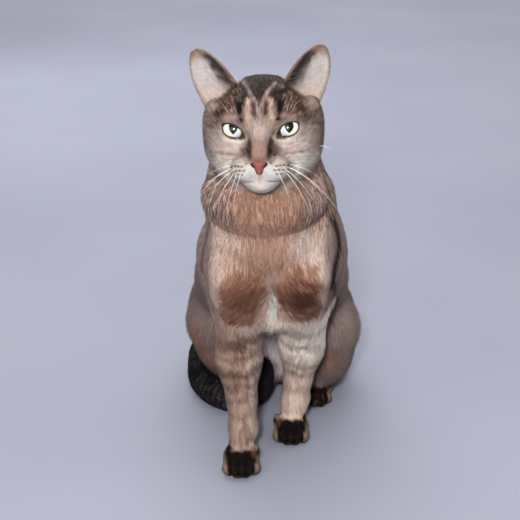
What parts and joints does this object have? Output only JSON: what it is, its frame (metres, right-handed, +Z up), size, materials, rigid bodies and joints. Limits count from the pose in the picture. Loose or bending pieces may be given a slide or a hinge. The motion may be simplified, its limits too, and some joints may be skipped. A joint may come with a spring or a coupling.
{
  "type": "cat",
  "caption": "Still, life-size short-haired tabby cat sitting upright with its tail curled round its side.",
  "frame": {"origin": "middle of the bounding box at the level of the floor the cat sits on", "axes": "+Z up, the cat faces -Y, its left side is +X"},
  "size_m": [0.1818, 0.3128, 0.394],
  "materials": {
    "coat": "short dense grey-brown ticked fur",
    "dark_coat": "short dense near-black fur with faint grey rings",
    "ear": "thin ear with short tan fur outside and pale sparse hair inside",
    "eye": "wet glossy pale green iris with a dark upright pupil",
    "nose": "moist brick-pink nose leather with a darker rim"
  },
  "bodies": {
    "root": {"eye_right": "eye", "eye_left": "eye", "nose": "nose", "head": "coat", "ear_right": "ear", "ear_left": "ear", "neck": "coat", "chest": "coat", "thigh_right": "coat", "thigh_left": "coat", "trunk": "coat", "foreleg_right": "coat", "forepaw_right": "dark_coat", "foreleg_left": "coat", "forepaw_left": "dark_coat", "hindpaw_right": "dark_coat", "hindpaw_left": "dark_coat", "tail_1": "dark_coat", "tail_2": "dark_coat", "tail_3": "dark_coat", "tail_4": "dark_coat", "tail_5": "dark_coat"}
  },
  "joints": []
}
